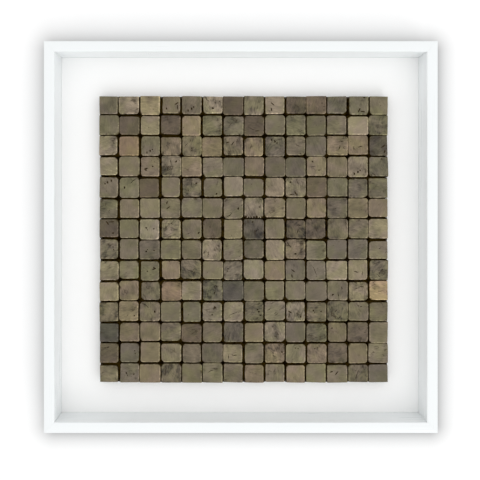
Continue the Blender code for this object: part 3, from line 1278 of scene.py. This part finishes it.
@dataclass
class BlockSheet:
    """The 14 rows of 14 tumbled blocks."""

    blocks: int = 14
    edge_trim: float = 1.9 * MM
    joint_wander: float = 0.3 * MM
    layout_seed: int = 1414
    looks_seed: int = 77
    side_gap: float = 1.52 * MM
    level_gap: float = 1.60 * MM
    gap_lean: float = 0.028 * MM
    gap_spread: float = 0.68 * MM
    gap_limits: Span = (0.3 * MM, 3.1 * MM)
    side_drift: float = 0.32 * MM
    level_drift: float = 0.48 * MM
    most_drift: float = 1.0 * MM
    edge_wobble: float = 0.5 * MM
    edge_slant: float = 0.03
    overhang: float = 2.5 * MM
    worn_depth: float = 3.0 * MM
    joined_height: float = 4.6 * MM
    bed_inset: float = 1.6 * MM
    glue_drop: float = 1.0 * MM
    glue_width: float = 1.8 * MM
    glue_inset: float = 0.45 * MM
    row_gap: float = 0.3 * MM
    turn: float = 0.9
    tilt: float = 0.8
    height_spread: float = 0.25 * MM
    back_slope: float = 0.4 * MM
    least_edge: float = 0.001 * MM
    tint_spread: float = 0.076
    warmth_spread: float = 0.012
    warmth_in_blue: float = 1.5
    grain_stray: float = 0.4
    carver: BlockCarver = field(init=False)
    patterns: dict[Wear, list[Piece]] = field(init=False)

    PATTERNS = {
        Wear.SOUND: 8,
        Wear.CHIPPED: 4,
        Wear.PITTED: 7,
        Wear.CHECKED: 7,
        Wear.SPLIT: 1,
        Wear.RAGGED: 1,
    }
    WEAR_WEIGHTS = {Wear.SOUND: 46, Wear.CHIPPED: 20, Wear.PITTED: 15, Wear.CHECKED: 17, Wear.SPLIT: 2}
    TONE_WEIGHTS = {
        Tone.DRIFTWOOD: 32,
        Tone.OLIVE_DRIFT: 17,
        Tone.WARM_DRIFT: 14,
        Tone.PALE_DRIFT: 12,
        Tone.UMBER: 9,
        Tone.GREY_DRIFT: 14,
        Tone.HONEY: 2,
        Tone.SLATE: 1,
    }
    AGES = {Wear.SOUND: (0.1, 0.78), Wear.CHIPPED: (0.2, 0.95)}
    OTHER_AGES = (0.35, 1.0)
    SINGLED_OUT = {
        (2, 1): (Tone.HONEY, Wear.SOUND, 0),
        (3, 3): (Tone.DRIFTWOOD, Wear.CHECKED, 1),
        (4, 5): (Tone.DRIFTWOOD, Wear.CHECKED, 2),
        (4, 8): (Tone.PALE_DRIFT, Wear.SOUND, 2),
        (5, 7): (Tone.PALE_DRIFT, Wear.RAGGED, 0),
        (6, 7): (Tone.SLATE, Wear.CHECKED, 0),
        (7, 2): (Tone.GREY_DRIFT, Wear.PITTED, 0),
        (8, 0): (Tone.PALE_DRIFT, Wear.SOUND, 3),
        (9, 6): (Tone.SLATE, Wear.SOUND, 1),
        (9, 13): (Tone.TAN, Wear.SOUND, 4),
        (10, 6): (Tone.PALE_DRIFT, Wear.SPLIT, 0),
        (11, 0): (Tone.SLATE, Wear.SOUND, 0),
    }

    def __post_init__(self) -> None:
        """Read the sheet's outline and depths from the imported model, and draw the gaps."""
        self.low, self.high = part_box("carrier_sheet")
        fronts = [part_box(f"block_row_{row + 1:02d}")[0].y for row in range(self.blocks)]
        self.front = sum(fronts) / self.blocks
        self.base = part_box("block_row_01")[1].y
        grids = ((self.blocks, self.blocks + 1), (self.blocks + 1, self.blocks))
        chance = random.Random(self.looks_seed)
        self.side_gaps, self.level_gaps = (
            [[self.draw_gap(chance, usual, row - column) for column in range(across)] for row in range(down)]
            for usual, (down, across) in zip((self.side_gap, self.level_gap), grids)
        )
        chance = random.Random(f"drift {self.looks_seed}")
        self.side_drifts, self.level_drifts = (
            [[self.drift(chance, spread) for _ in range(across)] for _ in range(down)]
            for spread, (down, across) in zip((self.side_drift, self.level_drift), grids)
        )

    def drift(self, chance: random.Random, spread: float) -> float:
        """Draw how far one gap is from its line."""
        return min(self.most_drift, max(-self.most_drift, chance.gauss(0, spread)))

    def draw_gap(self, chance: random.Random, usual: float, lower_left: int) -> float:
        """Draw the width of one gap, which is wider the more blocks it is towards the lower left corner."""
        least, most = self.gap_limits
        return min(most, max(least, chance.gauss(usual + lower_left * self.gap_lean, self.gap_spread)))

    def lines(self, low: float, high: float) -> list[float]:
        """Give the lines between blocks for two edges of the sheet, the end ones past the trimmed edges."""
        pitch = (high - low + 2 * self.edge_trim) / self.blocks
        return [low - self.edge_trim + step * pitch for step in range(self.blocks + 1)]

    def cells(self, row: int) -> list[Cell]:
        """Lay out one row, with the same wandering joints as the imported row.

        Args:
            row: The row's number, from the top.

        Returns:
            Its cells from left to right.
        """
        chance, wobble = random.Random(self.layout_seed + row), random.Random(self.looks_seed + 100 * row)
        columns, levels = self.lines(self.low.x, self.high.x), self.lines(self.low.z, self.high.z)
        for index in range(1, self.blocks):
            columns[index] += chance.uniform(-self.joint_wander, self.joint_wander)
        floor, ceiling, last = levels[self.blocks - row - 1], levels[self.blocks - row], self.blocks - 1
        drifts, gaps = self.side_drifts[row], self.side_gaps[row]
        cells = []
        for column in range(self.blocks):
            left = columns[column] + drifts[column] + gaps[column] / 2
            right = columns[column + 1] + drifts[column + 1] - gaps[column + 1] / 2
            low = floor + self.level_drifts[row + 1][column] + self.level_gaps[row + 1][column] / 2
            high = ceiling + self.level_drifts[row][column] - self.level_gaps[row][column] / 2
            middle = Vector(((left + right) / 2, 0, (low + high) / 2))
            sides = ((column == 0, -RIGHT), (column == last, RIGHT), (row == 0, UP), (row == last, -UP))
            trims = [self.trim(middle, out, wobble) for at_edge, out in sides if at_edge]
            left -= self.overhang * (column == 0)
            right += self.overhang * (column == last)
            high += self.overhang * (row == 0)
            low -= self.overhang * (row == last)
            cells.append(Cell(left, right, low, high, trims))
        return cells

    def trim(self, middle: Vector, out: Vector, wobble: random.Random) -> tuple[Vector, Vector]:
        """Draw one cut along the sheet's edge, a little off it and a little askew.

        Args:
            middle: The middle of the block's room.
            out: The direction away from the sheet.
            wobble: The source of its random amounts.

        Returns:
            A point on the cut and its outward direction.
        """
        edge = self.high if sum(out) > 0 else self.low
        reach = (edge - middle).dot(out) + wobble.uniform(-self.edge_wobble, self.edge_wobble)
        slant = out.cross(FRONT) * wobble.uniform(-self.edge_slant, self.edge_slant)
        return middle + out * reach, (out + slant).normalized()

    def place(self, pattern: Piece, cell: Cell, upright: bool, chance: random.Random) -> Piece:
        """Copy a pattern into its cell: turned, perhaps mirrored, scaled to the cell and slightly tilted.

        Args:
            pattern: The modelled block.
            cell: The room that it fills.
            upright: Keep it as it was modelled, with no quarter turn and no mirroring.
            chance: The source of its random amounts.

        Returns:
            The copy, with its own mesh.
        """
        block = pattern.copy()
        block.data = pattern.data.copy()
        bpy.context.scene.collection.objects.link(block)
        quarter, mirror = chance.randrange(4), chance.choice((-1, 1))
        if upright:
            quarter, mirror = 0, 1
        wide, tall = cell.right - cell.left, cell.high - cell.low
        sizes = (tall, wide) if quarter % 2 else (wide, tall)
        carver = self.carver
        front = self.front + carver.crown + chance.uniform(-self.height_spread, self.height_spread)
        deep = self.front + self.worn_depth - front
        block.scale = (mirror * sizes[0] / carver.side, deep / carver.height, sizes[1] / carver.side)
        tilt, turn, lean = (chance.uniform(-most, most) for most in (self.tilt, self.turn, self.tilt))
        turn = quarter * math.pi / 2 + math.radians(turn)
        block.rotation_euler = (math.radians(tilt), turn, math.radians(lean))
        block.location = ((cell.left + cell.right) / 2, front, (cell.low + cell.high) / 2)
        return block

    def draw_look(self, tone: Tone, wear: Wear, chance: random.Random) -> tuple[Colour, tuple[float, ...]]:
        """Draw a block's own colour and the marks of its pattern.

        Args:
            tone: Its colour, before it strays.
            wear: Its kind of wear, by which a marked block looks older than a sound one.
            chance: The source of its random amounts.

        Returns:
            Its colour, and the turn, shift and age of its pattern.
        """
        light = 1 + chance.gauss(0, self.tint_spread)
        warm = chance.gauss(0, self.warmth_spread)
        red, green, blue, _ = tone.value
        cool = 1 - self.warmth_in_blue * warm
        colour = (red * light * (1 + warm), green * light, blue * light * cool, 1.0)
        angle = chance.choice((0, math.pi / 2)) + chance.uniform(-self.grain_stray, self.grain_stray)
        return colour, (angle, chance.random(), chance.uniform(*self.AGES.get(wear, self.OTHER_AGES)))

    def stain(self, block: Piece, colour: Colour, mark: tuple[float, ...]) -> None:
        """Write a block's colour and the marks of its pattern into its mesh.

        Args:
            block: The block.
            colour: Its colour.
            mark: The turn, shift and age of its pattern.
        """
        notes = (
            ("block_tint", "FLOAT_COLOR", "color", colour),
            ("block_mark", "FLOAT_VECTOR", "vector", mark),
        )
        for name, kind, key, value in notes:
            note = block.data.attributes.new(name, kind, "POINT")
            note.data.foreach_set(key, value * len(block.data.vertices))

    def lengthen(self, block: Piece) -> None:
        """Move the flat back of a laid block down to the carrier sheet.

        Args:
            block: The block.
        """
        back = max(vertex.co.y for vertex in block.data.vertices)
        with edit_mode(block, "VERT"):
            pick(block, "verts", lambda vertex: vertex.co.y > back - self.back_slope)
            bpy.ops.transform.translate(value=(0, self.base - back, 0))

    def glue(self, row: int, column: int, cell: Cell) -> list[Sequence[Vector]]:
        """Find the rooms of the dark glue in the ends of the gaps beside a block at the sheet's edge.

        Args:
            row: The block's row, from the top.
            column: Its column, from the left.
            cell: Its own room.

        Returns:
            The low and high corner of a bar along each trimmed side, whose two ends come out of the block.
        """
        left, right = self.side_gaps[row][column], self.side_gaps[row][column + 1]
        above, below = self.level_gaps[row][column], self.level_gaps[row + 1][column]
        top = self.front + self.glue_drop
        low = Vector((cell.left - left / 2, top, cell.low - (below - self.row_gap) / 2))
        high = Vector((cell.right + right / 2, self.base, cell.high + (above - self.row_gap) / 2))
        corners, sides = (low, high), []
        for point, outward in cell.trims:
            axis = 0 if abs(outward.x) > abs(outward.z) else 2
            upper = outward[axis] > 0
            inward = -1 if upper else 1
            corners[upper][axis] = point[axis] + inward * self.glue_inset
            sides.append((axis, upper, inward * self.glue_width))
        rooms = []
        for axis, upper, width in sides:
            room = (low.copy(), high.copy())
            room[not upper][axis] = room[upper][axis] + width
            rooms.append(room)
        return rooms

    def filling(self, row: int, cells: list[Cell]) -> list[Piece]:
        """Model the dark filling of a row's gaps: a bed under the blocks, and glue in the gaps' outer ends.

        Args:
            row: The row's number, from the top.
            cells: The rooms of its blocks.

        Returns:
            The bed and the bars of glue.
        """
        levels = self.lines(self.low.z, self.high.z)
        left, right = self.low.x + self.bed_inset, self.high.x - self.bed_inset
        floor = max(self.low.z + self.bed_inset, levels[self.blocks - row - 1] + self.row_gap / 2)
        ceiling = min(self.high.z - self.bed_inset, levels[self.blocks - row] - self.row_gap / 2)
        bed = (Vector((left, self.base - self.joined_height, floor)), Vector((right, self.base, ceiling)))
        rooms = [bed]
        for column, cell in enumerate(cells):
            rooms += self.glue(row, column, cell)
        boards = [add_board("filling", low, high) for low, high in rooms]
        for board in boards:
            board.data.materials.append(self.carver.wood)
        return boards

    def lay(self, row: int, column: int, cell: Cell, chance: random.Random) -> tuple[Piece, tuple]:
        """Lay one block and draw its look.

        Args:
            row: The block's row, from the top.
            column: Its column, from the left.
            cell: Its room.
            chance: The source of its random amounts.

        Returns:
            The block, and its colour and the marks of its pattern.
        """
        tone = chance.choices(list(self.TONE_WEIGHTS), self.TONE_WEIGHTS.values())[0]
        wear = chance.choices(list(self.WEAR_WEIGHTS), self.WEAR_WEIGHTS.values())[0]
        pattern = chance.choice(self.patterns[wear])
        named = self.SINGLED_OUT.get((row, column))
        if named:
            tone, wear, index = named
            pattern = self.patterns[wear][index]
        block = self.place(pattern, cell, named is not None, chance)
        return block, self.draw_look(tone, wear, chance)

    def join(self, name: str, parts: Sequence[Piece]) -> Piece:
        """Join blocks and filling into one piece, clear of the flaps and slivers that their cuts left.

        Args:
            name: The piece's name.
            parts: What is joined.

        Returns:
            The piece.
        """
        select_only(*parts)
        bpy.ops.object.join()
        joined = bpy.context.active_object
        for _ in range(2):
            with edit_mode(joined, "FACE"):
                pick(joined, "faces", is_flap)
                bpy.ops.mesh.delete(type="FACE")
        with edit_mode(joined, "FACE", "SELECT"):
            bpy.ops.mesh.dissolve_degenerate(threshold=self.least_edge)
            bpy.ops.mesh.select_all(action="SELECT")
            bpy.ops.mesh.delete_loose(use_verts=True, use_edges=True, use_faces=False)
            face_outwards()
        joined.name = joined.data.name = name
        return joined

    def row(self, row: int) -> Piece:
        """Lay, trim, stain and join one row of blocks.

        Args:
            row: The row's number, from the top.

        Returns:
            The row as one object.
        """
        chance = random.Random(f"row {row} of {self.looks_seed}")
        cells = self.cells(row)
        laid = [self.lay(row, column, cell, chance) for column, cell in enumerate(cells)]
        blocks = [block for block, _ in laid]
        select_only(*blocks)
        settle()
        for (block, look), cell in zip(laid, cells):
            for point, outward in cell.trims:
                cut_off(block, point, outward)
            self.lengthen(block)
            self.stain(block, *look)
        filling = self.filling(row, cells)
        for board in filling:
            self.stain(board, *self.draw_look(Tone.FILLING, Wear.SOUND, chance))
        return self.join(f"wood_block_row_{row + 1:02d}", [*blocks, *filling])

    def build(self) -> None:
        """Model the patterns, lay the rows from them, dress the rows and hand them over."""
        across, upward = self.lines(self.low.x, self.high.x), self.lines(self.low.z, self.high.z)
        first = Vector((across[0], 0, upward[0]))
        pitch = Vector((across[1] - across[0], 0, upward[1] - upward[0]))
        wood = WeatheredBlockWood(self.front, self.low, self.high, first, pitch).make()
        self.carver = BlockCarver(wood, CutWood().make())
        wears = [wear for wear, count in self.PATTERNS.items() for _ in range(count)]
        made = [self.carver.carve(number, wear) for number, wear in enumerate(wears)]
        self.patterns = {
            wear: [pattern for pattern, kind in zip(made, wears) if kind is wear] for wear in self.PATTERNS
        }
        LOG.info("%d block patterns modelled", len(made))
        for row in range(self.blocks):
            hand_over(self.row(row), f"block_row_{row + 1:02d}")
        for pattern in made:
            bpy.data.objects.remove(pattern, do_unlink=True)


@dataclass
class Studio:
    """The pale wall and floor, the soft light and the camera."""

    wall_size: Span = (5.0, 3.0)
    wall_gap: float = 1 * MM
    floor_drop: float = 1.2
    floor_size: Span = (9.0, 9.0)
    wall_white: float = 0.99
    halo_depth: float = 1.28
    halo_fade: float = 11 * MM
    halo_darkest: float = 0.5
    halo_spread: tuple[float, float, float, float] = (-1 * MM, 4 * MM, 5.5 * MM, -2.5 * MM)
    floor_white: float = 0.80
    speckle_depth: float = 0.05 * MM
    dome_strength: float = 1.045
    dome_lean: float = 0.12
    dome_source: tuple[float, float, float] = (0.55, -0.35, -0.75)
    key_place: tuple[float, float, float] = (0.9, -1.6, -2.0)
    key_size: float = 1.2
    key_power: float = 5.0
    camera_place: tuple[float, float, float] = (-0.0183, -0.7023, -0.1303)
    camera_lens: float = 48.06
    camera_sensor: float = 36.0
    camera_shift: Span = (0.0354, -0.1)

    def painted_halo(self, recipe: Recipe) -> Socket:
        """Paint a soft shadow into the wall's colour all round the frame, where little of the light gets in.

        Args:
            recipe: The wall's finish under way.

        Returns:
            A factor on the wall's colour, 1 away from the frame.
        """
        low, high = PACKED_BOUNDS
        left, right, below, above = self.halo_spread
        past = recipe.past_box(low - Vector((left, 0, below)), high + Vector((right, 0, above)))
        past = recipe.vector("MULTIPLY", recipe.vector("MAXIMUM", past, (0, 0, 0)), (1, 0, 1))
        away = recipe.vector("LENGTH", past, output="Value")
        fading = recipe.calc("EXPONENT", recipe.product(away, -1 / self.halo_fade))
        return recipe.calc("MAXIMUM", recipe.total(1.0, (-self.halo_depth, fading)), self.halo_darkest)

    def plaster(self, name: str, white: float, is_wall: bool) -> Material:
        """Build a plain pale material.

        Args:
            name: The material's name.
            white: How light it is.
            is_wall: Paint a soft shadow on it round the frame, and leave it clear from behind, to show the
                panel's rear.

        Returns:
            The material.
        """
        recipe = Recipe(name)
        colour: object = (white, white, white, 1.0)
        if is_wall:
            # Painted shadow: the wall's colour is darkened round the frame.
            colour = recipe.brighten(colour, self.painted_halo(recipe))
            behind = recipe.add("NewGeometry", {}, "Backfacing")
            clear = recipe.add("BsdfTransparent", {})
            chosen = recipe.add("MixShader", {0: behind, 1: recipe.shader.outputs[0], 2: clear})
            recipe.feed(recipe.tree.nodes["Material Output"].inputs["Surface"], chosen)
        speckle = recipe.bump(recipe.noise(4, 3), self.speckle_depth)
        return recipe.finish(Base_Color=colour, Roughness=0.9, Specular_IOR_Level=0.0, Normal=speckle)

    def sheet(self, name: str, size: Span, place: Vector, tilt: float, finish: Material) -> None:
        """Add a large flat sheet of the stage, which the light passes through.

        Args:
            name: Its name.
            size: Its width and length.
            place: Its middle.
            tilt: How far it is turned up about X, in degrees.
            finish: Its material.
        """
        deselect_all()
        bpy.ops.mesh.primitive_plane_add(size=1, location=place, rotation=(math.radians(tilt), 0, 0))
        sheet = bpy.context.active_object
        sheet.scale = (*size, 1)
        sheet.name = name
        settle()
        sheet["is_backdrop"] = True
        sheet.data.materials.append(finish)
        for kind in ("diffuse", "glossy", "transmission", "shadow"):
            setattr(sheet, f"visible_{kind}", False)

    def set_stage(self) -> None:
        """Add the wall that the panel hangs on and the floor below it."""
        middle = Vector((0, self.wall_gap, self.wall_size[1] / 2 - self.floor_drop))
        wall = self.plaster("pale_wall", self.wall_white, True)
        self.sheet("pale_wall", self.wall_size, middle, 90, wall)
        floor = self.plaster("pale_floor", self.floor_white, False)
        self.sheet("pale_floor", self.floor_size, Vector((0, 0, -self.floor_drop)), 0, floor)

    def set_dome(self) -> None:
        """Light the scene from all round, a little more from the lower right."""
        recipe = Recipe("soft_dome", sky=True)
        direction = recipe.add("TexCoord", {}, "Generated")
        source = Vector(self.dome_source).normalized()
        toward = recipe.vector("DOT_PRODUCT", direction, source, output="Value")
        strength = recipe.total(self.dome_strength, (self.dome_lean * self.dome_strength, toward))
        bpy.context.scene.world = recipe.finish(Color=(1.0, 1.0, 1.0, 1.0), Strength=strength)

    def set_key(self) -> None:
        """Add one large soft lamp in front, low on the right. The floor above it lets its light through."""
        lamp = bpy.data.lights.new("soft_key", "AREA")
        lamp.shape = "SQUARE"
        lamp.size = self.key_size
        lamp.energy = self.key_power
        key = bpy.data.objects.new("soft_key", lamp)
        bpy.context.scene.collection.objects.link(key)
        key.location = self.key_place
        low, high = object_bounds()
        aim = (low + high) / 2 - Vector(self.key_place)
        key.rotation_euler = aim.to_track_quat("-Z", "Y").to_euler()
        key.visible_camera = False

    def set_camera(self) -> None:
        """Put the camera square to the panel, with the photograph's framing."""
        optics = bpy.data.cameras.new("camera")
        optics.lens = self.camera_lens
        optics.sensor_width = self.camera_sensor
        optics.shift_x, optics.shift_y = self.camera_shift
        camera = bpy.data.objects.new("camera", optics)
        bpy.context.scene.collection.objects.link(camera)
        camera.location = self.camera_place
        camera.rotation_euler = (math.radians(90), 0, 0)
        bpy.context.scene.camera = camera

    def build(self) -> None:
        """Set up the stage, the light and the camera."""
        self.set_stage()
        self.set_dome()
        self.set_key()
        self.set_camera()
        bpy.context.scene.view_settings.view_transform = "Standard"


def main() -> None:
    """Build the panel, sub-assembly by sub-assembly, and set the studio round it."""
    logging.basicConfig(level=logging.INFO, format="%(name)s: %(message)s", stream=sys.stdout)
    for part in (BoxFrame(), BackingBoard(), Subframe(), CarrierSheet(), BlockSheet()):
        LOG.info("building %s", type(part).__name__)
        part.build()
    Studio().build()


if __name__ == "__main__":
    main()
